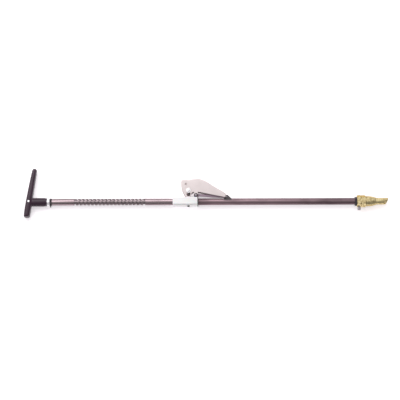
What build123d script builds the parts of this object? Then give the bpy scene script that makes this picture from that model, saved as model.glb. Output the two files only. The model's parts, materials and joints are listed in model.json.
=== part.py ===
from build123d import *
from math import cos, radians, sin, tan
import os

# A long push probe for grain. A sprung plunger runs through a straight tube, a sheet lever on a
# post locks it, and a brass nose ends in a slant-cut spout where the plunger's head comes out.
#
# Millimetres. The tube's axis is the X axis and the nose points along +X. The probe lies down,
# so +Z is up, and the lever and the long arm of the handle point along +Y.
# The origin is on the axis, where the spout leaves the nose cone.

# Clearances
seat_gap = 0.05  # radial, between round faces that are fixed to each other
run_gap = 0.3  # between pieces that move past each other
pin_gap = 0.05  # radial, a hinge pin in its running bore

# Tubes and rods
tube_d = 18.0
tube_wall = 1.8
rod_gap = 0.7  # radial, between the plunger rod and the tube
rod_end_wall = 2.5  # of the plunger rod round the push rod
push_rod_grip = 20.0
rod_pin_d = 3.0
plunger_travel = 40.0

# Lengths along the axis, from the nose back to the handle
spout_length = 34.0
spout_cut = 35.0
spout_turn = 35.0
spout_socket = 12.0
spigot_step = 0.5  # radial, the spout turned down where it stands in the cone
cone_length = 29.0
cone_root_wall = 4.9
cone_rim = 0.9
cone_land = 5.0  # straight at the root
cone_tip_land = 1.5  # straight behind the spout
cone_swell = 1.1  # how far the side bulges out past a straight cone
hex_body_length = 12.5
hex_body_wall = 5.75
tube_socket = 8.0
hex_nut_length = 11.0
hex_nut_wall = 6.0
jam_nut_length = 6.5
jam_nut_wall = 2.0
tube_show = 429.0
end_plate_length = 2.0
block_length = 70.0
sleeve_show = 74.0
spring_room = 198.0
upper_sleeve_length = 60.0
collar_length = 6.0
collar_wall = 3.5
ferrule_length = 7.0
ferrule_wall = 4.2
stem_length = 42.0
stem_wall = 5.3
stem_flare_wall = 5.7
stem_flare = 5.0

# White block on the tube
block_wall_y = 1.75
block_wall_z = 6.0
block_fillet = 1.6
joint_behind_post = 8.0  # where the rear sleeve meets the tube, inside the block
block_screw_d = 4.0
block_screw_head_d = 7.0
block_screw_head = 3.6

# Return spring of flat strip, wound left-handed
spring_strip = 6.4
spring_thick = 2.0
spring_pitch = 10.4
spring_seat = 2.0

# Lever, its post and its stay
lever_inner = 17.6
lever_sheet = 1.4
post_back = 25.0  # from the block's front face back to the post
pivot_rise = 19.05  # of the lever's pivot above the block
pivot_pin_d = 5.0
pivot_head_d = 8.0
pivot_head = 1.8
pivot_washer_d = 13.6
washer_thick = 1.4
post_plate_x = 27.0
post_plate_z = 14.0
post_plate = 1.8
post_stud_d = 6.0
post_eye_d = 12.0
post_eye_width = 10.0
post_wire = 1.6
post_spring_turns = 4.5
rivet_d = 3.0
rivet_head_d = 5.0
rivet_head = 1.0
rivet_inset = 4.5
lock_pad_d = 7.0
lever_hole_d = 5.5
lever_hole_back = 7.0
lever_hole_up = 17.8
lever_window_d = 12.0  # in each cheek, over the post's spring
lever_window_drop = 10.5
link_pin_d = 4.0
link_pin_ahead = 20.6
link_pin_rise = 5.85  # above the block
link_washer_d = 11.0
link_lobe = 5.3
link_thick = 5.0
link_root_d = 10.0
link_end_d = 7.2
link_slot_width = 4.0
link_slot_length = 3.6
link_slot_back = 1.1  # the slot's middle, behind the bracket's pin at rest
bracket_pin_d = 2.8
bracket_pin_ahead = 105.0
bracket_pin_rise = 5.1  # above the tube
bracket_sheet = 1.5
bracket_saddle = 0.9
bracket_length = 20.0
bracket_rise = 4.4

# Screws that show
nut_screw_d = 8.5
nut_screw_out = 8.0
nut_screw_shank_d = 4.0
collar_screw_d = 3.4
collar_screw_out = 5.0

# Handle: a leaning bar with unequal arms, moulded on the stem
grip_long_arm = 92.0
grip_short_arm = 42.0
grip_depth = 30.0
grip_ahead = 1.0  # where the bar's front edge crosses the axis, ahead of the stem's rear end
grip_lean = 7.8
grip_end_width = 13.0
grip_upper_width = 16.2
grip_axis_width = 17.8
grip_short_width = 17.2
grip_corner = 4.6
grip_fillet = 4.0
grip_screw_d = 6.0
grip_screw_head = 1.6
grip_screw_dome = 0.8
grip_screw_length = 16.0
rod_in_grip = 30.0

# Guides and head inside the tube
guide_length = 15.0
rear_guide_spare = 26.0  # between the plunger rod's end, pushed in, and the rear guide
front_guide_back = 36.0
rod_ahead_of_block = 22.0
head_face_back = 11.0
head_length = 25.0
head_groove = 3.0
head_groove_deep = 1.6
head_screw_d = 7.0
head_screw = 2.5
head_screw_shank_d = 3.5
head_screw_length = 14.0

# Diameters and heights that follow from the tube and the rod in it
tube_bore = tube_d - 2 * tube_wall
spigot_d = tube_d - 2 * spigot_step
rod_d = tube_bore - 2 * rod_gap
push_rod_d = rod_d - 2 * rod_end_wall
cone_root_d = tube_d + 2 * cone_root_wall
hex_body_flats = tube_d + 2 * hex_body_wall
hex_nut_flats = tube_d + 2 * hex_nut_wall
jam_nut_flats = tube_d + 2 * jam_nut_wall
block_y = tube_d + 2 * block_wall_y
block_z = tube_d + 2 * block_wall_z
block_top = block_y / 2
collar_d = rod_d + 2 * collar_wall
ferrule_d = rod_d + 2 * ferrule_wall
stem_d = rod_d + 2 * stem_wall
stem_flare_d = rod_d + 2 * stem_flare_wall
pivot_y = block_top + pivot_rise
link_pin_y = block_top + link_pin_rise
bracket_pin_y = tube_d / 2 + bracket_pin_rise
fixed_on_tube = tube_d + 2 * seat_gap
fixed_on_rod = rod_d + 2 * seat_gap
slides_on_rod = rod_d + 2 * run_gap

# Stations along X
cone_x = -cone_length
hex_body_x = cone_x - hex_body_length
hex_nut_x = hex_body_x - hex_nut_length
jam_nut_x = hex_nut_x - jam_nut_length
end_plate_x = jam_nut_x - tube_show
block_front_x = end_plate_x - end_plate_length
block_rear_x = block_front_x - block_length + end_plate_length
sleeve_rear_x = block_rear_x - sleeve_show
spring_rear_x = sleeve_rear_x - spring_room
upper_sleeve_x = spring_rear_x - upper_sleeve_length
collar_x = upper_sleeve_x - collar_length
ferrule_x = collar_x - ferrule_length
stem_x = ferrule_x - stem_length
tube_end_x = hex_body_x + tube_socket
post_x = block_front_x - post_back
joint_x = post_x - joint_behind_post
link_x = post_x + link_pin_ahead
bracket_x = post_x + bracket_pin_ahead
rod_start_x = ferrule_x - rod_in_grip
rod_end_x = end_plate_x + rod_ahead_of_block
rear_guide_x = rod_end_x + plunger_travel + rear_guide_spare
head_front_x = -head_face_back
head_rear_x = head_front_x - head_length
lever_outer = lever_inner + 2 * lever_sheet

os.makedirs("parts", exist_ok=True)


def add_ring(start, length, outer_d, bore_d):
    """Adds a plain ring or tube on the X axis, from start towards +X, to the part being built."""
    with BuildSketch(Plane.YZ.offset(start)) as profile:
        Circle(outer_d / 2)
        Circle(bore_d / 2, mode=Mode.SUBTRACT)
    extrude(profile.sketch, amount=length)


def add_hexagon(start, length, flats, bore_d):
    """Adds a bored hexagon on the X axis, a flat on top, its corners turned off at both ends."""
    corner = flats / 2 / cos(radians(30))
    bevel = (corner - flats / 2) * 0.8
    slope = bevel * tan(radians(30))
    with BuildSketch(Plane.YZ.offset(start)) as profile:
        RegularPolygon(flats / 2, 6, major_radius=False)
        Circle(bore_d / 2, mode=Mode.SUBTRACT)
    extrude(profile.sketch, amount=length)
    with BuildSketch(Plane.XY) as turned:
        with BuildLine():
            Polyline(
                (start, 0),
                (start, corner - bevel),
                (start + slope, corner),
                (start + length - slope, corner),
                (start + length, corner - bevel),
                (start + length, 0),
                close=True,
            )
        make_face()
    revolve(turned.sketch, axis=Axis.X, mode=Mode.INTERSECT)


def add_cross_pin(x, y, pin_d, half, head_d, head):
    """Adds a riveted pin along Z at x, y, with a head beyond each end of its grip."""
    with BuildSketch(Plane.XY.offset(-half)) as shank:
        with Locations((x, y)):
            Circle(pin_d / 2)
    extrude(shank.sketch, amount=2 * half)
    for level in (half, -half - head):
        with BuildSketch(Plane.XY.offset(level)) as cap:
            with Locations((x, y)):
                Circle(head_d / 2)
        extrude(cap.sketch, amount=head)
    fillet(faces().sort_by(Axis.Z)[-1].edges(), head * 0.45)
    fillet(faces().sort_by(Axis.Z)[0].edges(), head * 0.45)


def add_side_discs(x, y, outer_d, bore_d, near, thick):
    """Adds two equal discs along Z, one on each side, from near outwards."""
    for level in (near, -near - thick):
        with BuildSketch(Plane.XY.offset(level)) as disc:
            with Locations((x, y)):
                Circle(outer_d / 2)
                Circle(bore_d / 2, mode=Mode.SUBTRACT)
        extrude(disc.sketch, amount=thick)


def cut_side_hole(x, radius, depth):
    """Cuts a round hole at x from the axis towards +Y, or towards -Y where depth is negative."""
    with BuildSketch(Plane.XZ) as hole:
        with Locations((x, 0)):
            Circle(radius)
    extrude(hole.sketch, amount=-depth, mode=Mode.SUBTRACT)


# Nose: a slant-cut spout in a cone, on a hexagon body that screws on the tube
with BuildPart() as spout:
    add_ring(-spout_socket, spout_socket, spigot_d, tube_bore)
    add_ring(0, spout_length, tube_d, tube_bore)
    cut_x = spout_length - tube_d / 2 * tan(radians(spout_cut))
    cut_side = sin(radians(spout_cut))
    cut_normal = Vector(
        cos(radians(spout_cut)),
        -cut_side * cos(radians(spout_turn)),
        cut_side * sin(radians(spout_turn)),
    )
    split(bisect_by=Plane(origin=(cut_x, 0, 0), z_dir=cut_normal), keep=Keep.BOTTOM)
spout.part.label = "spout"
export_step(spout.part, "parts/spout.step")

with BuildPart() as nose_cone:
    with BuildSketch(Plane.XY):
        socket_r = spigot_d / 2 + seat_gap
        rim_r = tube_d / 2 + seat_gap + cone_rim
        with BuildLine():
            Polyline(
                (-cone_tip_land, rim_r),
                (0, rim_r),
                (0, socket_r),
                (-spout_socket, socket_r),
                (-spout_socket, tube_bore / 2),
                (cone_x, tube_bore / 2),
                (cone_x, cone_root_d / 2),
                (cone_x + cone_land, cone_root_d / 2),
            )
            side_x = (cone_x + cone_land - cone_tip_land) / 2
            side_r = (cone_root_d / 2 + rim_r) / 2 + cone_swell
            ThreePointArc((cone_x + cone_land, cone_root_d / 2), (side_x, side_r), (-cone_tip_land, rim_r))
        make_face()
    revolve(axis=Axis.X)
nose_cone.part.label = "nose_cone"
export_step(nose_cone.part, "parts/nose_cone.step")

with BuildPart() as hex_body:
    add_hexagon(hex_body_x, hex_body_length, hex_body_flats, tube_bore)
    with BuildSketch(Plane.YZ.offset(hex_body_x)):
        Circle(fixed_on_tube / 2)
    extrude(amount=tube_socket, mode=Mode.SUBTRACT)
hex_body.part.label = "hex_body"
export_step(hex_body.part, "parts/hex_body.step")

with BuildPart() as hex_nut:
    add_hexagon(hex_nut_x, hex_nut_length, hex_nut_flats, fixed_on_tube)
    nut_corner = hex_nut_flats / 2 / cos(radians(30))
    nut_screw_x = hex_nut_x + hex_nut_length / 2
    with BuildSketch(Plane.XZ.offset(fixed_on_tube / 2)):
        with Locations((nut_screw_x, 0)):
            Circle(nut_screw_shank_d / 2 + seat_gap)
    extrude(amount=nut_corner, mode=Mode.SUBTRACT)
    with BuildSketch(Plane.XZ.offset(nut_corner - 1)):
        with Locations((nut_screw_x, 0)):
            Circle(nut_screw_d / 2 + seat_gap)
    extrude(amount=nut_corner, mode=Mode.SUBTRACT)
hex_nut.part.label = "hex_nut"
export_step(hex_nut.part, "parts/hex_nut.step")

with BuildPart() as nut_lock_screw:
    with BuildSketch(Plane.XZ.offset(fixed_on_tube / 2)):
        with Locations((nut_screw_x, 0)):
            Circle(nut_screw_shank_d / 2)
    extrude(amount=nut_corner - 1 - fixed_on_tube / 2)
    with BuildSketch(Plane.XZ.offset(nut_corner - 1)):
        with Locations((nut_screw_x, 0)):
            Circle(nut_screw_d / 2)
    extrude(amount=nut_screw_out)
    fillet(nut_lock_screw.faces().sort_by(Axis.Y)[0].edges(), 1.5)
nut_lock_screw.part.label = "nut_lock_screw"
export_step(nut_lock_screw.part, "parts/nut_lock_screw.step")

with BuildPart() as jam_nut:
    add_hexagon(jam_nut_x, jam_nut_length, jam_nut_flats, fixed_on_tube)
jam_nut.part.label = "jam_nut"
export_step(jam_nut.part, "parts/jam_nut.step")

# Tube and rear sleeve, which meet inside the white block
with BuildPart() as main_tube:
    add_ring(joint_x, tube_end_x - joint_x, tube_d, tube_bore)
    cut_side_hole(post_x, lock_pad_d / 2 + seat_gap, tube_d)
    cut_side_hole(post_x, block_screw_d / 2 + seat_gap, -tube_d)
main_tube.part.label = "main_tube"
export_step(main_tube.part, "parts/main_tube.step")

with BuildPart() as guide_sleeve:
    add_ring(sleeve_rear_x, joint_x - sleeve_rear_x, tube_d, slides_on_rod)
guide_sleeve.part.label = "guide_sleeve"
export_step(guide_sleeve.part, "parts/guide_sleeve.step")

# White block, its black end plate and the screw under it
rivet_reach = post_plate_x / 2 - rivet_inset
with BuildPart() as pivot_block:
    with BuildSketch(Plane.YZ.offset(block_rear_x)):
        Rectangle(block_y, block_z)
    extrude(amount=block_front_x - block_rear_x)
    fillet(pivot_block.edges().filter_by(Axis.X), block_fillet)
    with BuildSketch(Plane.YZ.offset(block_rear_x)):
        Circle(fixed_on_tube / 2)
    extrude(amount=block_front_x - block_rear_x, mode=Mode.SUBTRACT)
    cut_side_hole(post_x, lock_pad_d / 2 + seat_gap, block_y)
    cut_side_hole(post_x - rivet_reach, rivet_d / 2 + seat_gap, block_y)
    cut_side_hole(post_x + rivet_reach, rivet_d / 2 + seat_gap, block_y)
    cut_side_hole(post_x, block_screw_d / 2 + seat_gap, -block_y)
pivot_block.part.label = "pivot_block"
export_step(pivot_block.part, "parts/pivot_block.step")

with BuildPart() as block_end_plate:
    with BuildSketch(Plane.YZ.offset(block_front_x)):
        RectangleRounded(block_y, block_z, block_fillet)
        Circle(fixed_on_tube / 2, mode=Mode.SUBTRACT)
    extrude(amount=end_plate_length)
block_end_plate.part.label = "block_end_plate"
export_step(block_end_plate.part, "parts/block_end_plate.step")

with BuildPart() as block_screw:
    with BuildSketch(Plane.XZ.offset(slides_on_rod / 2 + seat_gap)):
        with Locations((post_x, 0)):
            Circle(block_screw_d / 2)
    extrude(amount=block_top - slides_on_rod / 2 - seat_gap)
    with BuildSketch(Plane.XZ.offset(block_top)):
        with Locations((post_x, 0)):
            Circle(block_screw_head_d / 2)
    extrude(amount=block_screw_head)
    fillet(block_screw.faces().sort_by(Axis.Y)[0].edges(), block_screw_head * 0.6)
block_screw.part.label = "block_screw"
export_step(block_screw.part, "parts/block_screw.step")

# Post that carries the lever: a plate on the block, a stud and a pierced eye
with BuildPart() as pivot_post:
    with BuildSketch(Plane.XZ.offset(-block_top)):
        with Locations((post_x, 0)):
            RectangleRounded(post_plate_x, post_plate_z, 3)
    extrude(amount=-post_plate)
    with BuildSketch(Plane.XZ.offset(-block_top)):
        with Locations((post_x, 0)):
            Circle(post_stud_d / 2)
    extrude(amount=block_top - pivot_y)
    with BuildSketch(Plane.XY.offset(-post_eye_width / 2)):
        with Locations((post_x, pivot_y)):
            Circle(post_eye_d / 2)
    extrude(amount=post_eye_width)
    with BuildSketch(Plane.XY.offset(-post_eye_width / 2)):
        with Locations((post_x, pivot_y)):
            Circle(pivot_pin_d / 2 + pin_gap)
    extrude(amount=post_eye_width, mode=Mode.SUBTRACT)
    with BuildSketch(Plane.XZ.offset(-block_top)):
        with Locations((post_x - rivet_reach, 0), (post_x + rivet_reach, 0)):
            Circle(rivet_d / 2 + seat_gap)
    extrude(amount=-post_plate, mode=Mode.SUBTRACT)
pivot_post.part.label = "pivot_post"
export_step(pivot_post.part, "parts/pivot_post.step")

with BuildPart() as post_rivets:
    plate_top = block_top + post_plate
    with BuildSketch(Plane.XZ.offset(-tube_d / 2 - seat_gap)):
        with Locations((post_x - rivet_reach, 0), (post_x + rivet_reach, 0)):
            Circle(rivet_d / 2)
    extrude(amount=tube_d / 2 + seat_gap - plate_top)
    with BuildSketch(Plane.XZ.offset(-plate_top)):
        with Locations((post_x - rivet_reach, 0), (post_x + rivet_reach, 0)):
            Circle(rivet_head_d / 2)
    extrude(amount=-rivet_head)
post_rivets.part.label = "post_rivets"
export_step(post_rivets.part, "parts/post_rivets.step")

with BuildPart() as lock_pad:
    with BuildSketch(Plane.XZ.offset(-rod_d / 2 - run_gap)):
        with Locations((post_x, 0)):
            Circle(lock_pad_d / 2)
    extrude(amount=rod_d / 2 + run_gap - block_top)
lock_pad.part.label = "lock_pad"
export_step(lock_pad.part, "parts/lock_pad.step")

with BuildPart() as post_spring:
    coil_r = (post_stud_d + post_wire) / 2 + run_gap
    coil_low = block_top + post_plate + post_wire / 2 + seat_gap
    coil_high = pivot_y - post_eye_d / 2 - post_wire
    with BuildLine():
        coil = Helix(
            pitch=(coil_high - coil_low) / post_spring_turns,
            height=coil_high - coil_low,
            radius=coil_r,
            center=(post_x, coil_low, 0),
            direction=(0, 1, 0),
        )
    with BuildSketch(Plane(origin=coil @ 0, z_dir=coil % 0)):
        Circle(post_wire / 2)
    sweep(is_frenet=True)
post_spring.part.label = "post_spring"
export_step(post_spring.part, "parts/post_spring.step")

# Lever: a channel of sheet, with a rounded foot round the pivot and a lobe round the link pin
lever_foot = pivot_y - block_top - 2 * run_gap
with BuildPart() as hand_lever:
    with BuildSketch(Plane.XY.offset(lever_inner / 2)) as cheek:
        with BuildLine():
            foot = CenterArc((post_x, pivot_y), lever_foot, 248, 34)
            rim = Spline(
                (post_x - 17, pivot_y + 31),
                (post_x + 5, pivot_y + 31.4),
                (post_x + 24, pivot_y + 34.2),
                (post_x + 40, pivot_y + 30),
                (post_x + 54, pivot_y + 23),
                (post_x + 68, pivot_y + 13.5),
                (post_x + 97, pivot_y - 4),
            )
            Spline(
                foot @ 0,
                (post_x - 12, pivot_y - 9.5),
                (post_x - 16.5, pivot_y),
                (post_x - 19.3, pivot_y + 11),
                (post_x - 20.2, pivot_y + 22),
                rim @ 0,
            )
            Polyline(
                rim @ 1,
                (post_x + 103, pivot_y - 11),
                (post_x + 101, pivot_y - 18.5),
                (post_x + 64.5, pivot_y - 11.5),
                (post_x + 32, pivot_y - 4.5),
                (post_x + 18, pivot_y - 3.3),
                (post_x + 9, pivot_y - 6),
                foot @ 1,
            )
        make_face()
        with Locations((link_x, link_pin_y)):
            Circle(link_lobe)
            Rectangle(2 * link_lobe, pivot_y - link_pin_y, align=(Align.CENTER, Align.MIN))
        with Locations((post_x, pivot_y)):
            Circle(pivot_pin_d / 2, mode=Mode.SUBTRACT)
        with Locations((link_x, link_pin_y)):
            Circle(link_pin_d / 2, mode=Mode.SUBTRACT)
        with Locations((post_x - lever_hole_back, pivot_y + lever_hole_up)):
            Circle(lever_hole_d / 2, mode=Mode.SUBTRACT)
        with Locations((post_x, pivot_y - lever_window_drop)):
            Circle(lever_window_d / 2, mode=Mode.SUBTRACT)
    extrude(amount=lever_sheet)
    mirror(about=Plane.XY)
    with BuildSketch(Plane.XY.offset(-lever_outer / 2)):
        trace(rim, 2 * lever_sheet)
    extrude(amount=lever_outer)
hand_lever.part.label = "hand_lever"
export_step(hand_lever.part, "parts/hand_lever.step")

washer_level = lever_outer / 2
with BuildPart() as pivot_pin:
    add_cross_pin(
        post_x, pivot_y, pivot_pin_d, washer_level + washer_thick, pivot_head_d, pivot_head
    )
pivot_pin.part.label = "pivot_pin"
export_step(pivot_pin.part, "parts/pivot_pin.step")

with BuildPart() as pivot_washers:
    add_side_discs(
        post_x, pivot_y, pivot_washer_d, pivot_pin_d + 2 * seat_gap, washer_level, washer_thick
    )
pivot_washers.part.label = "pivot_washers"
export_step(pivot_washers.part, "parts/pivot_washers.step")

with BuildPart() as pivot_spacers:
    add_side_discs(
        post_x,
        pivot_y,
        post_eye_d,
        pivot_pin_d + 2 * seat_gap,
        post_eye_width / 2 + run_gap,
        lever_inner / 2 - post_eye_width / 2 - run_gap,
    )
pivot_spacers.part.label = "pivot_spacers"
export_step(pivot_spacers.part, "parts/pivot_spacers.step")

with BuildPart() as link_pin:
    add_cross_pin(
        link_x, link_pin_y, link_pin_d, washer_level + washer_thick, link_pin_d + 2, pivot_head / 2
    )
link_pin.part.label = "link_pin"
export_step(link_pin.part, "parts/link_pin.step")

with BuildPart() as link_washers:
    add_side_discs(
        link_x, link_pin_y, link_washer_d, link_pin_d + 2 * seat_gap, washer_level, washer_thick
    )
link_washers.part.label = "link_washers"
export_step(link_washers.part, "parts/link_washers.step")

with BuildPart() as link_spacers:
    add_side_discs(
        link_x,
        link_pin_y,
        link_root_d - 2,
        link_pin_d + 2 * seat_gap,
        link_thick / 2 + run_gap,
        lever_inner / 2 - link_thick / 2 - run_gap,
    )
link_spacers.part.label = "link_spacers"
export_step(link_spacers.part, "parts/link_spacers.step")

# Stay between the lever and the bracket, with a slot for the bracket's pin
stay_line = Vector(bracket_x - link_x, bracket_pin_y - link_pin_y)
stay_plane = Plane(
    origin=(link_x, link_pin_y, -link_thick / 2), x_dir=(stay_line.X, stay_line.Y, 0), z_dir=(0, 0, 1)
)
with BuildPart() as stay_link:
    with BuildSketch(stay_plane):
        slot_mid = stay_line.length - link_slot_back
        with Locations((0, 0)):
            Circle(link_root_d / 2)
        with Locations((slot_mid + link_slot_length / 2, 0)):
            Circle(link_end_d / 2)
        make_hull()
        Circle(link_pin_d / 2 + pin_gap, mode=Mode.SUBTRACT)
        with Locations((slot_mid, 0)):
            SlotCenterToCenter(link_slot_length, link_slot_width, mode=Mode.SUBTRACT)
    extrude(amount=link_thick)
stay_link.part.label = "stay_link"
export_step(stay_link.part, "parts/stay_link.step")

# Bracket on the tube: a saddle with two three-cornered ears
ear_inner = link_thick / 2 + 2 * run_gap
ear_outer = ear_inner + bracket_sheet
bracket_rear = bracket_x - 7
with BuildPart() as stay_bracket:
    with BuildSketch(Plane.YZ.offset(bracket_rear)):
        Circle(tube_d / 2 + seat_gap + bracket_saddle)
        Circle(tube_d / 2 + seat_gap, mode=Mode.SUBTRACT)
        with Locations((-tube_d, 0)):
            Rectangle(tube_d + 2 * tube_d / 3 * 2, 2 * tube_d, mode=Mode.SUBTRACT)
    extrude(amount=bracket_length)
    for level in (ear_inner, -ear_outer):
        with BuildSketch(Plane.XY.offset(level)):
            with BuildLine():
                Polyline(
                    (bracket_rear + 3, tube_d / 2 - 0.4),
                    (bracket_rear + 2, bracket_pin_y + bracket_rise),
                    (bracket_x + 2.5, bracket_pin_y + bracket_rise),
                    (bracket_rear + bracket_length - 0.5, tube_d / 2 - 0.4),
                    close=True,
                )
            make_face()
            with Locations((bracket_x, bracket_pin_y)):
                Circle(bracket_pin_d / 2, mode=Mode.SUBTRACT)
        extrude(amount=bracket_sheet)
    with BuildSketch(Plane.YZ.offset(bracket_rear)):
        Circle(tube_d / 2 + seat_gap)
    extrude(amount=bracket_length, mode=Mode.SUBTRACT)
stay_bracket.part.label = "stay_bracket"
export_step(stay_bracket.part, "parts/stay_bracket.step")

with BuildPart() as bracket_pin:
    add_cross_pin(
        bracket_x, bracket_pin_y, bracket_pin_d, ear_outer, bracket_pin_d + 1.4, pivot_head / 2
    )
bracket_pin.part.label = "bracket_pin"
export_step(bracket_pin.part, "parts/bracket_pin.step")

# Return spring of flat strip between two seats
with BuildPart() as front_seat:
    add_ring(sleeve_rear_x - spring_seat, spring_seat, tube_d, slides_on_rod)
front_seat.part.label = "front_seat"
export_step(front_seat.part, "parts/front_seat.step")

with BuildPart() as rear_seat:
    add_ring(spring_rear_x, spring_seat, tube_d, fixed_on_rod)
rear_seat.part.label = "rear_seat"
export_step(rear_seat.part, "parts/rear_seat.step")

with BuildPart() as return_spring:
    strip_r = tube_d / 2 - spring_thick / 2
    strip_rear = spring_rear_x + spring_seat + spring_strip / 2 + seat_gap
    strip_front = sleeve_rear_x - spring_seat - spring_strip / 2 - seat_gap
    with BuildLine():
        strip_path = Helix(
            pitch=spring_pitch,
            height=strip_front - strip_rear,
            radius=strip_r,
            center=(strip_rear, 0, 0),
            direction=(1, 0, 0),
            lefthand=True,
        )
    strip_start = strip_path @ 0
    outward = strip_start - Vector(strip_rear, 0, 0)
    with BuildSketch(Plane(origin=strip_start, x_dir=outward, z_dir=strip_path % 0)):
        Rectangle(spring_thick, spring_strip)
    sweep(is_frenet=True)
return_spring.part.label = "return_spring"
export_step(return_spring.part, "parts/return_spring.step")

# Plunger: rods, sleeve, collars and the handle at its rear
with BuildPart() as plunger_rod:
    with BuildSketch(Plane.YZ.offset(rod_start_x)):
        Circle(rod_d / 2)
        Circle(push_rod_d / 2 + seat_gap, mode=Mode.SUBTRACT)
    extrude(amount=rod_end_x - rod_start_x)
    rod_pin_x = rod_end_x - push_rod_grip / 2
    with BuildSketch(Plane.XY.offset(-rod_d)):
        with Locations((rod_pin_x, 0)):
            Circle(rod_pin_d / 2 + seat_gap)
    extrude(amount=2 * rod_d, mode=Mode.SUBTRACT)
plunger_rod.part.label = "plunger_rod"
export_step(plunger_rod.part, "parts/plunger_rod.step")

with BuildPart() as push_rod:
    with BuildSketch(Plane.YZ.offset(rod_end_x - push_rod_grip)):
        Circle(push_rod_d / 2)
    extrude(amount=head_rear_x - rod_end_x + push_rod_grip)
    with BuildSketch(Plane.XY.offset(-rod_d)):
        with Locations((rod_pin_x, 0)):
            Circle(rod_pin_d / 2 + seat_gap)
    extrude(amount=2 * rod_d, mode=Mode.SUBTRACT)
push_rod.part.label = "push_rod"
export_step(push_rod.part, "parts/push_rod.step")

with BuildPart() as rod_pin:
    with BuildSketch(Plane.XY.offset(-rod_d / 2 + run_gap)):
        with Locations((rod_pin_x, 0)):
            Circle(rod_pin_d / 2)
    extrude(amount=rod_d - 2 * run_gap)
rod_pin.part.label = "rod_pin"
export_step(rod_pin.part, "parts/rod_pin.step")

head_d = tube_bore - 2 * run_gap
with BuildPart() as push_head:
    with BuildSketch(Plane.YZ.offset(head_rear_x)):
        Circle(head_d / 2)
    extrude(amount=head_length)
    with BuildSketch(Plane.YZ.offset(head_rear_x + head_length / 2 - head_groove / 2)):
        Circle(head_d / 2)
        Circle(head_d / 2 - head_groove_deep, mode=Mode.SUBTRACT)
    extrude(amount=head_groove, mode=Mode.SUBTRACT)
    with BuildSketch(Plane.YZ.offset(head_front_x)):
        Circle(head_screw_d / 2 + seat_gap)
    extrude(amount=-head_screw, mode=Mode.SUBTRACT)
    with BuildSketch(Plane.YZ.offset(head_front_x)):
        Circle(head_screw_shank_d / 2 + seat_gap)
    extrude(amount=-head_screw_length, mode=Mode.SUBTRACT)
push_head.part.label = "push_head"
export_step(push_head.part, "parts/push_head.step")

with BuildPart() as head_screw_piece:
    with BuildSketch(Plane.YZ.offset(head_front_x)):
        Circle(head_screw_d / 2)
        RegularPolygon(head_screw_d / 4, 6, mode=Mode.SUBTRACT)
    extrude(amount=-head_screw)
    with BuildSketch(Plane.YZ.offset(head_front_x - head_screw)):
        Circle(head_screw_shank_d / 2)
    extrude(amount=head_screw - head_screw_length)
head_screw_piece.part.label = "head_screw"
export_step(head_screw_piece.part, "parts/head_screw.step")

with BuildPart() as head_seal:
    seal_d = tube_bore - 2 * pin_gap
    with BuildSketch(Plane.YZ.offset(head_rear_x + head_length / 2 - head_groove / 2 + seat_gap)):
        Circle(seal_d / 2)
        Circle(head_d / 2 - head_groove_deep + seat_gap, mode=Mode.SUBTRACT)
    extrude(amount=head_groove - 2 * seat_gap)
    fillet(head_seal.edges().filter_by(GeomType.CIRCLE).group_by(SortBy.RADIUS)[-1], head_groove / 3)
head_seal.part.label = "head_seal"
export_step(head_seal.part, "parts/head_seal.step")

guide_d = tube_bore - 2 * seat_gap
slides_on_push_rod = push_rod_d + 2 * run_gap
with BuildPart() as rear_guide:
    add_ring(rear_guide_x, guide_length, guide_d, slides_on_push_rod)
rear_guide.part.label = "rear_guide"
export_step(rear_guide.part, "parts/rear_guide.step")

with BuildPart() as front_guide:
    add_ring(
        jam_nut_x - front_guide_back - guide_length, guide_length, guide_d, slides_on_push_rod
    )
front_guide.part.label = "front_guide"
export_step(front_guide.part, "parts/front_guide.step")

with BuildPart() as upper_sleeve:
    add_ring(upper_sleeve_x, upper_sleeve_length, tube_d, fixed_on_rod)
upper_sleeve.part.label = "upper_sleeve"
export_step(upper_sleeve.part, "parts/upper_sleeve.step")

collar_screw_x = collar_x + collar_length / 2
with BuildPart() as end_collar:
    add_ring(collar_x, collar_length, collar_d, fixed_on_rod)
    cut_side_hole(collar_screw_x, collar_screw_d / 2 + seat_gap, -collar_d)
end_collar.part.label = "end_collar"
export_step(end_collar.part, "parts/end_collar.step")

with BuildPart() as collar_screw:
    with BuildSketch(Plane.XZ.offset(fixed_on_rod / 2)):
        with Locations((collar_screw_x, 0)):
            Circle(collar_screw_d / 2)
    extrude(amount=collar_d / 2 + collar_screw_out - fixed_on_rod / 2)
    fillet(collar_screw.faces().sort_by(Axis.Y)[0].edges(), collar_screw_d * 0.3)
collar_screw.part.label = "collar_screw"
export_step(collar_screw.part, "parts/collar_screw.step")

with BuildPart() as ferrule:
    add_ring(ferrule_x, ferrule_length, ferrule_d, fixed_on_rod)
    fillet(ferrule.edges().filter_by(GeomType.CIRCLE).group_by(SortBy.RADIUS)[-1], 0.8)
ferrule.part.label = "ferrule"
export_step(ferrule.part, "parts/ferrule.step")

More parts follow.
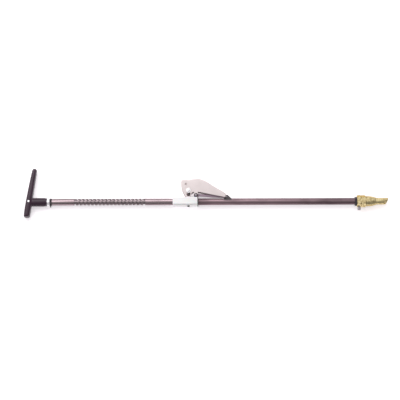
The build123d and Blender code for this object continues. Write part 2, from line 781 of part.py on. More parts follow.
lean = tan(radians(grip_lean))
with BuildPart() as handle_grip:
    with BuildSketch(Plane.XY.offset(-grip_depth / 2)):
        with BuildLine():
            front = Line(
                (stem_x + grip_ahead - grip_short_arm * lean, -grip_short_arm),
                (stem_x + grip_ahead + grip_long_arm * lean, grip_long_arm),
            )
            rear = Spline(
                front @ 1 - (grip_end_width, 0),
                front @ 0.7 - (grip_upper_width, 0),
                front @ 0.3 - (grip_axis_width, 0),
                front @ 0 - (grip_short_width, 0),
            )
            Line(front @ 1, rear @ 0)
            Line(front @ 0, rear @ 1)
        make_face()
        fillet(vertices(), grip_corner)
    extrude(amount=grip_depth)
    fillet(handle_grip.faces().sort_by(Axis.Z)[-1].edges(), grip_fillet)
    fillet(handle_grip.faces().sort_by(Axis.Z)[0].edges(), grip_fillet)
    with BuildSketch(Plane.XY):
        stem_r = stem_d / 2
        with BuildLine():
            Polyline(
                (stem_x - grip_axis_width / 2, 0),
                (stem_x - grip_axis_width / 2, stem_r),
                (ferrule_x - 2 * stem_flare, stem_r),
                (ferrule_x - stem_flare, stem_flare_d / 2),
                (ferrule_x, stem_flare_d / 2),
                (ferrule_x, 0),
                close=True,
            )
        make_face()
    revolve(axis=Axis.X)
    with BuildSketch(Plane.YZ.offset(ferrule_x)):
        Circle(fixed_on_rod / 2)
    extrude(amount=-rod_in_grip - run_gap, mode=Mode.SUBTRACT)
    grip_screw_x = stem_x + grip_ahead - grip_axis_width / 2
    with BuildSketch(Plane.XY.offset(grip_depth / 2)):
        with Locations((grip_screw_x, 0)):
            Circle(grip_screw_d / 2 + seat_gap)
    extrude(amount=-grip_screw_head, mode=Mode.SUBTRACT)
    with BuildSketch(Plane.XY.offset(grip_depth / 2 - grip_screw_head)):
        with Locations((grip_screw_x, 0)):
            Circle(grip_screw_d / 4 + seat_gap)
    extrude(amount=-grip_screw_length, mode=Mode.SUBTRACT)
handle_grip.part.label = "handle_grip"
export_step(handle_grip.part, "parts/handle_grip.step")

with BuildPart() as grip_screw:
    with BuildSketch(Plane.XY.offset(grip_depth / 2 - grip_screw_head)):
        with Locations((grip_screw_x, 0)):
            Circle(grip_screw_d / 2)
    extrude(amount=grip_screw_head + grip_screw_dome)
    with BuildSketch(Plane.XY.offset(grip_depth / 2 - grip_screw_head)):
        with Locations((grip_screw_x, 0)):
            Circle(grip_screw_d / 4)
    extrude(amount=-grip_screw_length)
    fillet(grip_screw.faces().sort_by(Axis.Z)[-1].edges(), grip_screw_dome)
grip_screw.part.label = "grip_screw"
export_step(grip_screw.part, "parts/grip_screw.step")
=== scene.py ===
import json
from math import acos, atan2, cos, pi, radians, sin, tan

import bmesh
import bpy
from mathutils import Matrix, Vector

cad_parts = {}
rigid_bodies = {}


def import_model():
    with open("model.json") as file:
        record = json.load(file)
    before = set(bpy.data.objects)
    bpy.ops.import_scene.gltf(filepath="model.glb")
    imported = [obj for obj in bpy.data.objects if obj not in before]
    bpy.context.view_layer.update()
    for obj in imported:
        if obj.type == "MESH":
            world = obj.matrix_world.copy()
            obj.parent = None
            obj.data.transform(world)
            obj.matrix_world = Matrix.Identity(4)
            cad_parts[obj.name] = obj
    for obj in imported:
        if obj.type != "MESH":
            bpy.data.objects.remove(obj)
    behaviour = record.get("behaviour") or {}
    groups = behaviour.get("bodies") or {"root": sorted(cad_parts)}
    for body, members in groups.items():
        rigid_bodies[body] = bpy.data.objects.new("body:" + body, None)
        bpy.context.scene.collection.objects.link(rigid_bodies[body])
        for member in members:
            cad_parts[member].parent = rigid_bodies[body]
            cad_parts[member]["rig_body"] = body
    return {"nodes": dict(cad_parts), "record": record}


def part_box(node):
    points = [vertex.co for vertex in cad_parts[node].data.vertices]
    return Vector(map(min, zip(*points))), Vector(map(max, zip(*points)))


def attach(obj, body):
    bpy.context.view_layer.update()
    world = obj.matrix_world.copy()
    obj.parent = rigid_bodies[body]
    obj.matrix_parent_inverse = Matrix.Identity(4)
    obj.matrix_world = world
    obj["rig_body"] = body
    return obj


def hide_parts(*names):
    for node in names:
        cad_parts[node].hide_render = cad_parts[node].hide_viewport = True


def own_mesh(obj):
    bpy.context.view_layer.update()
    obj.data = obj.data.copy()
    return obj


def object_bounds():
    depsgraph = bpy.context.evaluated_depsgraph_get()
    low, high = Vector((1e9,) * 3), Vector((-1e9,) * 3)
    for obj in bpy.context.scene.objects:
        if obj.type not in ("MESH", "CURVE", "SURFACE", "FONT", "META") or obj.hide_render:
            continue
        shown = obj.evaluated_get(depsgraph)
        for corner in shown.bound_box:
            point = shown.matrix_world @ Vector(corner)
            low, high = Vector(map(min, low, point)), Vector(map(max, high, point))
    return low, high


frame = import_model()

bl_info = {
    "name": "Grain probe",
    "version": (1, 0, 0),
    "blender": (4, 5, 0),
    "location": "View3D > Sidebar > Grain probe",
    "description": "Finishes and fine pieces of a long hand probe for grain, around its packed frame",
    "category": "Object",
}

# The probe lies along X with its nose at +X, its lever towards +Y and +Z up. Metres.
cad_low, cad_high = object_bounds()
node_slots = {part["node"]: part["material_slot"] for part in frame["record"]["subparts"]}
slot_colours = {made["slot"]: made["base_color"] for made in frame["record"]["materials"]}
mm = 0.001
fit = 0.05 * mm  # clearance of a piece on what it sits on

# Colours of wear and dirt over the finishes, of the shade painted on the tube towards its nose, and of the
# glints on dark and on yellow metal
DUST = (0.2, 0.17, 0.19, 1.0)
BARE_STEEL = (0.3, 0.28, 0.28, 1.0)
# Painted shade: the tube's steel is darkened towards the nose with this colour
PAINTED_NOSE_SHADE = (0.05, 0.035, 0.04, 1.0)
RUB_MARK = (0.45, 0.42, 0.43, 1.0)
CHIPPED = (0.34, 0.32, 0.33, 1.0)
TARNISH = (0.08, 0.05, 0.02, 1.0)
DARK_GLINT = (0.3, 0.25, 0.27, 1.0)
YELLOW_GLINT = (0.5, 0.38, 0.2, 1.0)

# Widths of the handle's bar in millimetres, evenly from the end of its short arm to that of its long arm
BAR_WIDTHS = (17.2, 17.6, 17.8, 17.3, 16.6, 15.9, 15.0, 14.0, 13.0)

# The lever's outline in millimetres from its pivot: the folded rim, the rear edge, the hem behind and
# ahead of the stay's pin, and corners above the rim that the fold cuts off
RIM = (-26, 29.5), (-17, 31), (5, 31.4), (24, 34.2), (40, 30), (54, 23), (68, 13.5), (97, -4), (106, -11.5)
REAR = (-19.9, 26.5), (-20.2, 20), (-19.3, 11), (-16.5, 0), (-12, -9.5), (-6.9, -17.1)
HEM_BEHIND = (9, -6), (13, -4.2)
HEM_AHEAD = (32, -4.5), (64.5, -11.5), (101, -18.5), (103, -11)
ABOVE_RIM = (104, 60), (-8, 60), (-8, 33.5), (-14.5, 31)
HANGING_HOLE = (-7, 17.8)
WINDOW = (0, -10.5)


# ---- sizes and colours


def length(name, description, default):
    return bpy.props.FloatProperty(
        name=name, description=description, default=default, min=0.0, unit="LENGTH", precision=5
    )


def turn(name, description, default):
    return bpy.props.FloatProperty(
        name=name, description=description, default=radians(default), subtype="ANGLE"
    )


def count(name, description, default):
    return bpy.props.IntProperty(name=name, description=description, default=default, min=1)


def number(name, description, default):
    return bpy.props.FloatProperty(name=name, description=description, default=default, min=0.0)


def colour(name, description, default):
    return bpy.props.FloatVectorProperty(
        name=name, description=description, default=default, subtype="COLOR", size=3, min=0.0, max=1.0
    )


class ProbeColours(bpy.types.PropertyGroup):
    dark_plastic: colour("Handle", "Moulded handle and stem", (0.034, 0.015, 0.028))
    bright_steel: colour("Bright steel", "Plated ferrule and screws", (0.92, 0.9, 0.92))
    black_steel: colour("Black steel", "Blackened collars, nuts and bracket", (0.04, 0.033, 0.037))
    rod_steel: colour("Rod steel", "Plunger rods", (0.2, 0.165, 0.175))
    sleeve_steel: colour("Sleeve steel", "Sleeves at both ends of the spring", (0.3, 0.235, 0.25))
    spring_steel: colour("Spring steel", "Flat strip of the return spring", (0.27, 0.22, 0.23))
    tube_steel: colour("Tube steel", "Long drawn tube", (0.25, 0.175, 0.195))
    white_plastic: colour("White plastic", "Block on the tube", slot_colours["white_plastic"])
    lever_sheet: colour("Lever", "Coated sheet of the lever", (0.68, 0.605, 0.6))
    pin_steel: colour("Pin steel", "Pivot pins, post and rivets", (0.33, 0.3, 0.32))
    stay_plastic: colour("Stay", "Stay between the lever and its bracket", (0.34, 0.25, 0.31))
    guide_nylon: colour("Nylon", "Guides and spacers", slot_colours["guide_nylon"])
    brass: colour("Brass", "Nose, spout and nuts", (0.74, 0.63, 0.35))
    brass_stain: colour("Brass stain", "Darker film on handled brass", (0.26, 0.17, 0.06))
    seal_rubber: colour("Rubber", "Seal of the plunger's head", slot_colours["seal_rubber"])


class ProbeSizes(bpy.types.PropertyGroup):
    edge: length("Edge", "Round of a broken metal edge", 0.3 * mm)
    strip_width: length("Strip width", "Return spring's strip, along the rod", 6.4 * mm)
    strip_thick: length("Strip thickness", "Return spring's strip, across the rod", 2.0 * mm)
    strip_pitch: length("Strip pitch", "Advance of the return spring in one turn", 10.4 * mm)
    wire: length("Wire", "Diameter of the post spring's wire", 1.6 * mm)
    wire_turns: number("Wire turns", "Turns of the post spring", 4.5)
    sheet: length("Sheet", "Thickness of the lever's sheet", 1.4 * mm)
    fold: length("Fold", "Radius of the lever's folded rim", 3.6 * mm)
    hole: length("Hole", "Diameter of the lever's hanging hole", 5.5 * mm)
    tube_bore: length("Tube bore", "Inside diameter of tube and spout", 14.4 * mm)
    grip_blend: count("Grip blend", "Smoothing passes where the stem runs into the bar", 14)
    grip_grid: length("Grip grid", "Cell of the handle's mesh", 0.8 * mm)
    slant: turn("Slant", "Spout's end off square", 35.0)
    bearing: turn("Bearing", "Way the spout's mouth faces, from the handle's short side upwards", 35.0)
    stem: length("Stem", "Handle's stem, from its front end to the bar", 42.0 * mm)
    stem_r: length("Stem radius", "Radius of the handle's stem", 11.85 * mm)
    grip_lean: turn("Lean", "Handle's bar off square", 7.8)
    grip_ahead: length("Bar's place", "Bar's front edge ahead of the stem's rear end", 1.0 * mm)
    grip_square: number("Squareness", "Two gives a round bar, more a squarer one", 3.2)
    grip_screw_bore: length("Counterbore", "Diameter of the sunk hole round the handle's screw", 7.6 * mm)
    grip_screw_deep: length("Counterbore depth", "Depth of that hole", 2.4 * mm)
    window: length("Window", "Diameter of the hole over the post's spring", 12.0 * mm)
    lobe: length("Lobe", "Radius of the lobe round the stay's pin", 5.3 * mm)
    stay_root: length("Stay root", "Stay's width at the lever", 10.0 * mm)
    stay_end: length("Stay end", "Stay's width at the bracket", 7.2 * mm)
    knurl_teeth: count("Knurl teeth", "Ridges round the nut's thumb screw", 28)
    knurl_deep: length("Knurl depth", "Depth of those ridges", 0.28 * mm)


class ProbeStage(bpy.types.PropertyGroup):
    elevation: turn("Elevation", "Camera above the floor", 78.0)
    roll: turn("Roll", "Camera's turn about its own axis", -0.18)
    lens: number("Lens", "Focal length in millimetres", 160.0)
    span: length("Span", "Width that the picture takes in", 1.098)
    aim: length("Aim", "How far behind the origin the camera looks", 0.4833)
    lift: length("Lift", "How far above the probe's axis the picture's middle is", 0.0049)
    floor: colour("Floor", "Pale floor", (0.86, 0.84, 0.855))
    glow: number("Glow", "Light of the floor's own, as on a light table", 0.48)
    sky: number("Sky", "Strength of the room's light from the lever side", 1.12)
    shade: number("Shade", "Strength of the room's light from the other side", 0.32)
    key: number("Key", "Strength of the large lamp over the lever side, in watts", 9.0)


# ---- shader maths


def _maths(operation, swapped=False):
    def work(wire, other):
        pair = (other, wire) if swapped else (wire, other)
        return wire.finish.node("ShaderNodeMath", {"operation": operation}, pair)

    return work


class Wire:
    """One value in a finish's node tree. Sums with it add Math nodes."""

    def __init__(self, finish, socket):
        self.finish, self.socket = finish, socket

    __add__, __radd__ = _maths("ADD"), _maths("ADD", True)
    __sub__, __rsub__ = _maths("SUBTRACT"), _maths("SUBTRACT", True)
    __mul__, __rmul__ = _maths("MULTIPLY"), _maths("MULTIPLY", True)


class Finish:
    """A material on the Principled shader. Constants go on its own sockets."""

    def __init__(self, name, base, metallic=0.0, roughness=0.5, **constants):
        self.material = bpy.data.materials.new(name)
        self.material.use_nodes = True
        self.nodes = self.material.node_tree.nodes
        self.links = self.material.node_tree.links
        self.shader = self.nodes["Principled BSDF"]
        self.base = (*base, 1.0)
        self.shader.inputs["Base Color"].default_value = self.base
        self.shader.inputs["Metallic"].default_value = metallic
        self.shader.inputs["Roughness"].default_value = roughness
        for socket, value in constants.items():
            self.shader.inputs[socket.replace("_", " ")].default_value = value
        self.material.diffuse_color = self.base
        self.material.metallic, self.material.roughness = metallic, roughness
        self.place = self.node("ShaderNodeTexCoord", output="Object")

    def join(self, value, socket):
        """Links a wire to a socket, or sets a plain value on it."""
        if isinstance(value, Wire):
            self.links.new(value.socket, socket)
        else:
            socket.default_value = value

    def node(self, kind, settings=None, values=(), output=0):
        """Adds a node: first its settings, then the values or wires of its sockets."""
        made = self.nodes.new(kind)
        for name, value in (settings or {}).items():
            setattr(made, name, value)
        pairs = values.items() if isinstance(values, dict) else enumerate(values)
        for name, value in pairs:
            self.join(value, made.inputs[name])
        return Wire(self, made.outputs[output])

    def noise(self, cell, stretch=(1, 1, 1), detail=2.0, harsh=0.5):
        """Noise from 0 to 1 whose grains are about cell metres, longer where stretch is above 1."""
        scale = tuple(1 / (cell * share) for share in stretch)
        spot = self.node("ShaderNodeVectorMath", {"operation": "MULTIPLY"}, (self.place, scale))
        return self.node(
            "ShaderNodeTexNoise", {}, {"Vector": spot, "Scale": 1.0, "Detail": detail, "Roughness": harsh}
        )

    def step(self, value, low, high, start=0.0, end=1.0):
        """Value mapped from low..high to start..end, smoothly and no further."""
        return self.node(
            "ShaderNodeMapRange",
            {"interpolation_type": "SMOOTHSTEP"},
            {"Value": value, "From Min": low, "From Max": high, "To Min": start, "To Max": end},
        )

    def blend(self, share, first, second):
        """Colour from first to second by share."""
        return self.node("ShaderNodeMix", {"data_type": "RGBA"}, {0: share, 6: first, 7: second}, output=2)

    def tint(self, share):
        """The finish's own colour, lighter or darker by share."""
        return tuple(min(1.0, part * share) for part in self.base[:3]) + (1.0,)

    def edges(self, low=0.52, high=0.58):
        """1 on convex edges, 0 elsewhere."""
        return self.step(self.node("ShaderNodeNewGeometry", output="Pointiness"), low, high)

    def axis(self, name):
        return self.node("ShaderNodeSeparateXYZ", {}, (self.place,), output=name)

    def paint(self, value):
        self.join(value, self.shader.inputs["Base Color"])

    def polish(self, value):
        self.join(value, self.shader.inputs["Roughness"])

    def relief(self, height, deep, strength=1.0):
        """Bump whose height wire from 0 to 1 stands for deep metres."""
        bump = self.node("ShaderNodeBump", {}, {"Strength": strength, "Distance": deep, "Height": height})
        self.join(bump, self.shader.inputs["Normal"])


# ---- finishes


def moulded_handle(tint):
    """Dark glossy plastic with a fine cast grain, rubbed brighter where hands hold it."""
    made = Finish("dark_plastic", tint, roughness=0.3, Specular_IOR_Level=0.28, Coat_Weight=0.12)
    grain = made.noise(0.5 * mm, detail=3)
    rub = made.step(made.noise(28 * mm, detail=2), 0.42, 0.66)
    dust = made.step(made.noise(5 * mm, detail=4), 0.62, 0.8)
    shade = made.blend(rub, made.tint(0.92), made.tint(1.25))
    made.paint(made.blend(dust * 0.18, shade, DUST))
    made.polish(0.3 + 0.16 * grain - 0.08 * rub)
    made.relief(grain, 0.05 * mm, 0.5)
    return made.material


def plated_steel(tint):
    """Bright plating with faint turning marks and a few dull patches."""
    made = Finish("bright_steel", tint, metallic=0.6, roughness=0.22)
    film = made.step(made.noise(6 * mm, detail=3), 0.45, 0.75)
    lines = made.noise(0.25 * mm, (1, 40, 40), detail=1)
    made.paint(made.blend(film, made.base, made.tint(0.86)))
    made.polish(0.12 + 0.16 * film + 0.06 * lines)
    made.relief(lines, 0.01 * mm, 0.4)
    return made.material


def blackened_steel(tint):
    """Black oxide, worn to steel on its edges."""
    made = Finish("black_steel", tint, metallic=0.75, roughness=0.42)
    worn = made.edges() * made.step(made.noise(1.5 * mm, detail=4), 0.35, 0.65)
    mottle = made.noise(3 * mm, detail=4)
    shade = made.blend(mottle, made.tint(0.8), made.tint(1.6))
    made.paint(made.blend(worn * 0.3, shade, BARE_STEEL))
    made.polish(0.3 + 0.22 * mottle)
    made.relief(made.noise(0.4 * mm, detail=2), 0.02 * mm, 0.4)
    return made.material


def steel_along(slot, tint, roughness, streak=0.25, stain=0.75, handled=0.0):
    """Drawn or ground steel: fine lines along X, soft stains and small dark specks.

    Handled is how much the steel is painted darker towards the nose, a painted shade.
    """
    made = Finish(slot, tint, metallic=1.0, roughness=roughness, Specular_Tint=DARK_GLINT)
    lines = made.noise(0.3 * mm, (120, 1, 1), detail=2)
    cloud = made.step(made.noise(22 * mm, (2.4, 1, 1), detail=3), 0.4, 0.72)
    specks = made.step(made.noise(1.1 * mm, (1.6, 1, 1), detail=3), 0.68, 0.76)
    shade = made.blend(cloud, made.tint(1.06), made.tint(stain))
    shade = made.blend(specks * 0.45, shade, made.tint(0.4))
    shade = made.blend(lines * streak, shade, made.tint(1.35))
    # Painted shade: film runs from 0 to 1 towards the nose and darkens the steel there by handled
    film = made.step(made.axis("X"), -0.38, -0.06)
    made.paint(made.blend(film * handled, shade, PAINTED_NOSE_SHADE))
    made.polish(roughness - 0.06 + 0.16 * cloud + 0.1 * lines)
    made.relief(lines, 0.015 * mm, 0.5)
    return made.material


def spring_steel(tint):
    """Oiled spring strip with wipe marks across its turns."""
    made = Finish("spring_steel", tint, metallic=1.0, roughness=0.3, Specular_Tint=DARK_GLINT)
    cloud = made.noise(9 * mm, detail=3)
    lines = made.noise(0.3 * mm, (1, 12, 12), detail=2)
    made.paint(made.blend(made.step(cloud, 0.4, 0.7), made.tint(1.05), made.tint(0.7)))
    made.polish(0.24 + 0.16 * cloud + 0.06 * lines)
    made.relief(lines, 0.01 * mm, 0.4)
    return made.material


def white_plastic(tint):
    """Moulded white plastic with faint flow marks and grey rub marks on its edges."""
    made = Finish("white_plastic", tint, roughness=0.4, Subsurface_Weight=0.08, Subsurface_Scale=0.002)
    flow = made.noise(14 * mm, (3, 1, 1), detail=3)
    grain = made.noise(0.4 * mm, detail=2)
    soil = made.edges(0.5, 0.6) * made.step(made.noise(2.2 * mm, detail=4), 0.4, 0.7)
    shade = made.blend(flow, made.base, made.tint(0.95))
    made.paint(made.blend(soil * 0.14, shade, RUB_MARK))
    made.polish(0.34 + 0.14 * grain)
    made.relief(grain, 0.02 * mm, 0.4)
    return made.material


def coated_sheet(tint):
    """Satin coat on sheet metal with a fine orange-peel skin and small chips on its edges."""
    made = Finish("lever_sheet", tint, metallic=0.15, roughness=0.33, Coat_Weight=0.2, Coat_Roughness=0.25)
    peel = made.noise(1.3 * mm, detail=2)
    cloud = made.step(made.noise(24 * mm, detail=3), 0.4, 0.7)
    chips = made.edges(0.53, 0.6) * made.step(made.noise(1.6 * mm, detail=4), 0.5, 0.62)
    scuffs = made.step(made.noise(2.0 * mm, (9, 1.4, 1), detail=4), 0.66, 0.74)
    shade = made.blend(cloud, made.tint(1.02), made.tint(0.97))
    shade = made.blend(scuffs * 0.12, shade, made.tint(0.75))
    made.paint(made.blend(chips * 0.4, shade, CHIPPED))
    made.polish(0.28 + 0.12 * peel + 0.1 * cloud)
    made.relief(peel, 0.03 * mm, 0.35)
    return made.material


def pin_steel(tint):
    """Zinc plate with its fine crystal mottle."""
    made = Finish("pin_steel", tint, metallic=1.0, roughness=0.3)
    mottle = made.noise(1.2 * mm, detail=4)
    made.paint(made.blend(mottle, made.tint(0.8), made.tint(1.15)))
    made.polish(0.22 + 0.2 * mottle)
    made.relief(made.noise(0.3 * mm), 0.01 * mm, 0.4)
    return made.material


def stay_coat(tint):
    """Satin lilac-grey coat, with painted shade along its edges."""
    made = Finish("stay_plastic", tint, metallic=0.3, roughness=0.4)
    mottle = made.noise(3 * mm, detail=3)
    # Painted shade: rubbed holds the stay's convex edges, which are painted much darker
    rubbed = made.edges(0.51, 0.57)
    shade = made.blend(mottle, made.tint(0.85), made.tint(1.2))
    made.paint(made.blend(rubbed * 0.7, shade, made.tint(0.35)))
    made.polish(0.34 + 0.16 * mottle)
    made.relief(made.noise(0.4 * mm), 0.02 * mm, 0.4)
    return made.material


def machined_nylon(tint):
    """Waxy nylon with fine tool rings."""
    made = Finish("guide_nylon", tint, roughness=0.5, Subsurface_Weight=0.1, Subsurface_Scale=0.002)
    rings = made.noise(0.3 * mm, (1, 30, 30), detail=1)
    made.paint(made.blend(made.noise(4 * mm, detail=3), made.base, made.tint(0.85)))
    made.polish(0.42 + 0.16 * rings)
    made.relief(rings, 0.02 * mm, 0.5)
    return made.material


def turned_brass(tint, film_tint):
    """Turned brass: fine tool rings, a brown film in patches and bright handled edges."""
    made = Finish("brass", tint, metallic=1.0, roughness=0.24, Specular_Tint=YELLOW_GLINT)
    rings = made.noise(0.22 * mm, (1, 60, 60), detail=1)
    film = made.step(made.noise(4.5 * mm, detail=4, harsh=0.6), 0.4, 0.62)
    specks = made.step(made.noise(1.4 * mm, detail=3), 0.6, 0.7)
    bright = made.edges(0.52, 0.6)
    shade = made.blend(film * 0.6, made.base, (*film_tint, 1.0))
    shade = made.blend(specks * 0.45, shade, TARNISH)
    made.paint(made.blend(bright * 0.5, shade, made.tint(1.2)))
    made.polish(0.18 + 0.24 * film + 0.06 * rings)
    made.relief(rings, 0.02 * mm, 0.6)
    return made.material


def seal_rubber(tint):
    """Dull black rubber with a fine grain."""
    made = Finish("seal_rubber", tint, roughness=0.6)
    grain = made.noise(0.4 * mm, detail=3)
    made.paint(made.blend(grain, made.base, made.tint(1.8)))
    made.polish(0.5 + 0.2 * grain)
    made.relief(grain, 0.03 * mm, 0.4)
    return made.material


def make_finishes(colours):
    """Every slot's material, by slot name."""
    makers = {
        "dark_plastic": moulded_handle,
        "bright_steel": plated_steel,
        "black_steel": blackened_steel,
        "rod_steel": lambda tint: steel_along("rod_steel", tint, 0.24),
        "sleeve_steel": lambda tint: steel_along("sleeve_steel", tint, 0.2, stain=0.82),
        "spring_steel": spring_steel,
        # handled sets the shade painted on the tube towards its nose
        "tube_steel": lambda tint: steel_along("tube_steel", tint, 0.36, 0.3, 0.7, handled=0.42),
        "white_plastic": white_plastic,
        "lever_sheet": coated_sheet,
        "pin_steel": pin_steel,
        "stay_plastic": stay_coat,
        "guide_nylon": machined_nylon,
        "brass": lambda tint: turned_brass(tint, colours.brass_stain),
        "seal_rubber": seal_rubber,
    }
    return {slot: make(getattr(colours, slot)) for slot, make in makers.items()}


# ---- mesh building


def soften(outline, radius, steps=3):
    """A closed outline of 2D points with its corners rounded by up to radius."""
    made = []
    for i, corner in enumerate(outline):
        corner = Vector(corner)
        back = Vector(outline[i - 1]) - corner
        ahead = Vector(outline[(i + 1) % len(outline)]) - corner
        bend = back.angle(ahead, pi)
        reach = min(radius / tan(bend / 2), 0.45 * back.length, 0.45 * ahead.length) if bend < 3.1 else 0
        if reach < 1e-6:
            made.append(corner)
            continue
        first, last = corner + back.normalized() * reach, corner + ahead.normalized() * reach
        for k in range(steps + 1):
            t = k / steps
            made.append(first * (1 - t) ** 2 + corner * 2 * t * (1 - t) + last * t * t)
    return made


def skin(bm, rings, closed=False, caps=False):
    """Faces between rings of as many points each. A closed run joins the last ring to the first."""
    rows = [[bm.verts.new(p) for p in ring] for ring in rings]
    size = len(rows[0])
    for a, b in zip(rows, rows[1:] + rows[:1] if closed else rows[1:]):
        for k in range(size):
            bm.faces.new((a[k], a[(k + 1) % size], b[(k + 1) % size], b[k]))
    if caps:
        bm.faces.new(rows[0])
        bm.faces.new(rows[-1])


def lathe(profile, steps=96, teeth=0, deep=0.0, crest=0.0):
    """Turns (along, radius) points round +X. Radii of crest or more carry ridges of that depth."""
    bm = bmesh.new()
    rings = []
    for k in range(steps):
        angle = 2 * pi * k / steps
        dent = deep * (0.5 - 0.5 * cos(teeth * angle)) if teeth else 0.0
        ring = []
        for along, radius in profile:
            r = radius - (dent if radius >= crest else 0.0)
            ring.append((along, r * cos(angle), r * sin(angle)))
        rings.append(ring)
    skin(bm, rings, closed=True)
    bmesh.ops.remove_doubles(bm, verts=bm.verts, dist=1e-7)
    bmesh.ops.dissolve_degenerate(bm, edges=bm.edges, dist=1e-8)
    return bm


def ring_outline(start, end, outer, bore, edge):
    """A tube's half section from start to end along the axis."""
    return soften([(start, bore), (start, outer), (end, outer), (end, bore)], edge)


def hexagon(start, end, flats, bore, bevel, edge):
    """A bored hexagon nut along X, a flat on top, its corners turned off by bevel at both ends."""
    bm = bmesh.new()
    half, corner = flats / 2, flats / 2 / cos(pi / 6)
    slope = tan(pi / 6)
    rings = []
    steps = 144
    for k in range(steps):
        angle = 2 * pi * (k + 0.5) / steps
        off = (angle - pi / 2 + pi / 6) % (pi / 3) - pi / 6
        reach = half / cos(off)
        blunt = corner - edge * (0.155 + 14 * (pi / 6 - abs(off)) ** 2)
        reach = min(reach, blunt)
        face = min(reach, corner - bevel)
        shoulder = max(0.0, (reach - (corner - bevel)) * slope)
        run = min(edge, (face - bore) / 3)
        half_section = [
            (start, bore + run * 0.6),
            (start, face - run * 0.6),
            (start + shoulder + run * 0.25, reach - run * 0.1),
            (start + shoulder + run, reach),
            (end - shoulder - run, reach),
            (end - shoulder - run * 0.25, reach - run * 0.1),
            (end, face - run * 0.6),
            (end, bore + run * 0.6),
            (end - run * 0.6, bore),
            (start + run * 0.6, bore),
        ]
        rings.append([(x, r * cos(angle), r * sin(angle)) for x, r in half_section])
    skin(bm, rings, closed=True)
    return bm


def stand(bm, place, towards):
    """Moves a piece made along +X so that its X axis points towards that direction from place."""
    turned = Vector(towards).to_track_quat("X", "Z").to_matrix().to_4x4()
    bmesh.ops.transform(bm, matrix=Matrix.Translation(place) @ turned, verts=bm.verts)
    return bm


def gather(*parts):
    """One mesh of several."""
    whole = bmesh.new()
    for part in parts:
        scrap = bpy.data.meshes.new("scrap")
        part.to_mesh(scrap)
        whole.from_mesh(scrap)
        bpy.data.meshes.remove(scrap)
        part.free()
    return whole


def placed(name, data):
    """A new object of that data in the scene."""
    made = bpy.data.objects.new(name, data)
    bpy.context.scene.collection.objects.link(made)
    return made


def scratch(bm):
    """A loose object of bm, outside the record of pieces."""
    mesh = bpy.data.meshes.new("scratch")
    bmesh.ops.recalc_face_normals(bm, faces=bm.faces)
    bm.to_mesh(mesh)
    bm.free()
    return placed("scratch", mesh)


def settled(obj):
    """The mesh of obj with its modifiers, as a new bmesh. The object is removed."""
    shown = obj.evaluated_get(bpy.context.evaluated_depsgraph_get())
    bm = bmesh.new()
    bm.from_mesh(shown.to_mesh())
    shown.to_mesh_clear()
    bpy.data.objects.remove(obj)
    return bm


def carve(bm, *tools, operation="DIFFERENCE"):
    """bm with each tool cut away from it."""
    body = scratch(bm)
    cutters = [scratch(tool) for tool in tools]
    for cutter in cutters:
        cut = body.modifiers.new("cut", "BOOLEAN")
        cut.operation, cut.solver, cut.object = operation, "EXACT", cutter
    made = settled(body)
    for cutter in cutters:
        bpy.data.objects.remove(cutter)
    return made


def plug(place, towards, radius, deep, sides=48):
    """A plain round cutter that runs deep both ways from place."""
    bm = bmesh.new()
    skin(bm, [[(x, *spot) for spot in circle((0, 0), radius, sides)] for x in (-deep, deep)], caps=True)
    return stand(bm, place, towards)


def block_cutter(low, high):
    """A box between two corners."""
    bm = bmesh.new()
    bmesh.ops.create_cube(bm, size=1.0)
    low, high = Vector(low), Vector(high)
    spread = Matrix.Diagonal((*(high - low), 1.0))
    bmesh.ops.transform(bm, matrix=Matrix.Translation((low + high) / 2) @ spread, verts=bm.verts)
    return bm


def plate(outlines, level, thick, edge):
    """A sheet in the XY plane from its outer outline and its holes, its middle at level, edges rounded."""
    curve = bpy.data.curves.new("plate", "CURVE")
    curve.dimensions, curve.fill_mode = "2D", "BOTH"
    curve.extrude, curve.bevel_depth, curve.bevel_resolution = thick / 2 - edge, edge, 2
    curve.offset = -edge
    for outline in outlines:
        line = curve.splines.new("POLY")
        line.points.add(len(outline) - 1)
        for point, (x, y) in zip(line.points, outline):
            point.co = (x, y, 0.0, 1.0)
        line.use_cyclic_u = True
    bm = settled(placed("plate", curve))
    bpy.data.curves.remove(curve)
    bmesh.ops.remove_doubles(bm, verts=bm.verts, dist=2e-6)
    bmesh.ops.translate(bm, vec=(0, 0, level), verts=bm.verts)
    return bm


def circle(centre, radius, steps=48, start=0.0, sweep=2 * pi):
    """Points of a circle, or of an arc when sweep is short of a full turn."""
    full = abs(sweep) > 2 * pi - 1e-6
    angles = [start + sweep * k / steps for k in range(steps if full else steps + 1)]
    return [(centre[0] + radius * cos(a), centre[1] + radius * sin(a)) for a in angles]


def coil(length_along, radius, turns, section, hand, steps=48):
    """A spring along +X. Its section is (along, outward) points round the strip's middle."""
    bm = bmesh.new()
    rings = []
    parts = int(turns * steps)
    for k in range(parts + 1):
        t = k / parts
        angle = hand * 2 * pi * turns * t
        x = length_along * t
        outward = Vector((0, cos(angle), sin(angle)))
        rings.append([Vector((x + a, 0, 0)) + outward * (radius + o) for a, o in section])
    skin(bm, rings, caps=True)
    return bm


finishes = {}
stood_for = set()


def piece(name, bm, *nodes, crease=32, slot=None):
    """Makes the named piece from bm. It stands for those CAD nodes and rides on their body."""
    bmesh.ops.recalc_face_normals(bm, faces=bm.faces)
    for face in bm.faces:
        face.smooth = True
    for edge in bm.edges:
        edge.smooth = len(edge.link_faces) != 2 or edge.calc_face_angle(0.0) < radians(crease)
    mesh = bpy.data.meshes.new(name)
    bm.to_mesh(mesh)
    bm.free()
    made = placed(name, mesh)
    slot = slot or node_slots[nodes[0]]
    mesh.materials.append(finishes[slot])
    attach(made, frame["nodes"][nodes[0]]["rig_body"])
    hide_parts(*nodes)
    stood_for.update(nodes)
    return made


